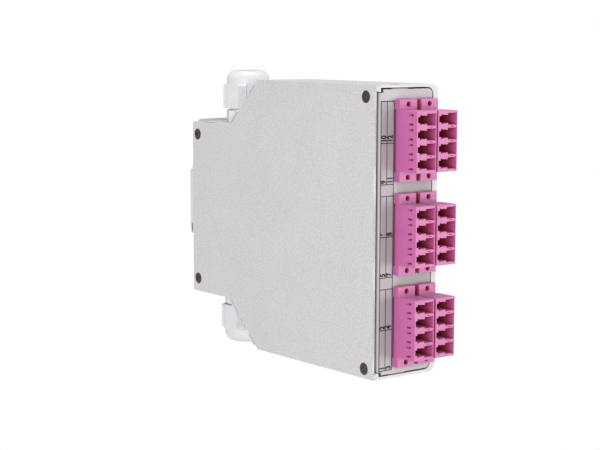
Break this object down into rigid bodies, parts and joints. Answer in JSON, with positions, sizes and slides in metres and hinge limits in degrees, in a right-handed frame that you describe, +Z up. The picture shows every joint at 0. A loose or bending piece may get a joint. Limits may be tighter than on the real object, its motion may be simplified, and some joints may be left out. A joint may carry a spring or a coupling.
{
  "type": "fibre splice box",
  "caption": "Slim DIN-rail fibre splice box: stepped steel case with side cover, front panel of quad LC adapters, two cable glands and a sprung rail latch",
  "frame": {"origin": "centre of the foot's seat on the rail's front faces, at half the rail's height", "axes": "+X to the right seen from the front, +Y to the rear into the rail, +Z up; the panel faces -Y"},
  "size_m": [0.035, 0.1565, 0.1332],
  "materials": {
    "powder_coat": "light grey powder coat",
    "cover_coat": "light grey powder coat, fine texture",
    "panel_coat": "light grey powder coat",
    "label_film": "matt warm grey printed film",
    "black_screw": "black zinc",
    "steel_screw": "zinc plated",
    "zinc_steel": "zinc plated",
    "bright_steel": "bright zinc, smooth",
    "spring_steel": "bright spring wire and strip",
    "adapter_plastic": "magenta moulded plastic, satin",
    "ceramic": "white ceramic",
    "polyamide": "light grey moulded polyamide",
    "ring_plastic": "white slip ring",
    "seal_rubber": "black elastomer",
    "tray_plastic": "grey moulded plastic",
    "clear_plastic": "clear moulded plastic"
  },
  "bodies": {
    "box": {"housing": "powder_coat", "front_panel": "panel_coat", "cable_bracket": "zinc_steel", "side_cover": "cover_coat", "label_strip": "label_film", "cover_screws": "black_screw", "panel_screws": "steel_screw", "foot_screws": "steel_screw", "press_nuts": "zinc_steel", "rail_foot": "bright_steel", "latch_spring": "spring_steel", "splice_tray": "tray_plastic", "tray_lid": "clear_plastic", "splice_comb_1": "tray_plastic", "splice_comb_2": "tray_plastic", "tray_pillars": "zinc_steel", "tray_screws": "steel_screw", "adapter_1": "adapter_plastic", "adapter_sleeves_1": "ceramic", "adapter_clip_1": "spring_steel", "adapter_2": "adapter_plastic", "adapter_sleeves_2": "ceramic", "adapter_clip_2": "spring_steel", "adapter_3": "adapter_plastic", "adapter_sleeves_3": "ceramic", "adapter_clip_3": "spring_steel", "adapter_4": "adapter_plastic", "adapter_sleeves_4": "ceramic", "adapter_clip_4": "spring_steel", "adapter_5": "adapter_plastic", "adapter_sleeves_5": "ceramic", "adapter_clip_5": "spring_steel", "adapter_6": "adapter_plastic", "adapter_sleeves_6": "ceramic", "adapter_clip_6": "spring_steel", "gland_top_body": "polyamide", "gland_top_lock_nut": "polyamide", "gland_top_seal": "seal_rubber", "gland_bottom_body": "polyamide", "gland_bottom_lock_nut": "polyamide", "gland_bottom_seal": "seal_rubber"},
    "gland_top_ring": {"gland_top_pressure_ring": "ring_plastic"},
    "gland_top_nut": {"gland_top_cap_nut": "polyamide"},
    "gland_bottom_ring": {"gland_bottom_pressure_ring": "ring_plastic"},
    "gland_bottom_nut": {"gland_bottom_cap_nut": "polyamide"},
    "latch": {"rail_latch": "bright_steel"}
  },
  "joints": [
    {"name": "gland_top_travel", "type": "slide", "parent": "box", "child": "gland_top_ring", "axis": [0, 0, 1], "range_m": [-0.00075, 0.003]},
    {"name": "gland_top_turn", "type": "hinge", "parent": "gland_top_ring", "child": "gland_top_nut", "pos_m": [0.003, -0.0202, 0.0378], "axis": [0, 0, 1], "range_deg": [-180, 720]},
    {"name": "gland_bottom_travel", "type": "slide", "parent": "box", "child": "gland_bottom_ring", "axis": [0, 0, -1], "range_m": [-0.00075, 0.003]},
    {"name": "gland_bottom_turn", "type": "hinge", "parent": "gland_bottom_ring", "child": "gland_bottom_nut", "pos_m": [0.003, -0.0182, -0.0454], "axis": [0, 0, -1], "range_deg": [-180, 720]},
    {"name": "latch_slide", "type": "slide", "parent": "box", "child": "latch", "axis": [0, 0, -1], "range_m": [0, 0.0035], "stiffness_N_per_m": 2000, "springref_m": -0.004, "deforming": ["latch_spring"]}
  ],
  "couplings": [
    {"joint": "gland_top_turn", "follows": "gland_top_travel", "rad_per_m": 4188.8},
    {"joint": "gland_bottom_turn", "follows": "gland_bottom_travel", "rad_per_m": 4188.8}
  ]
}
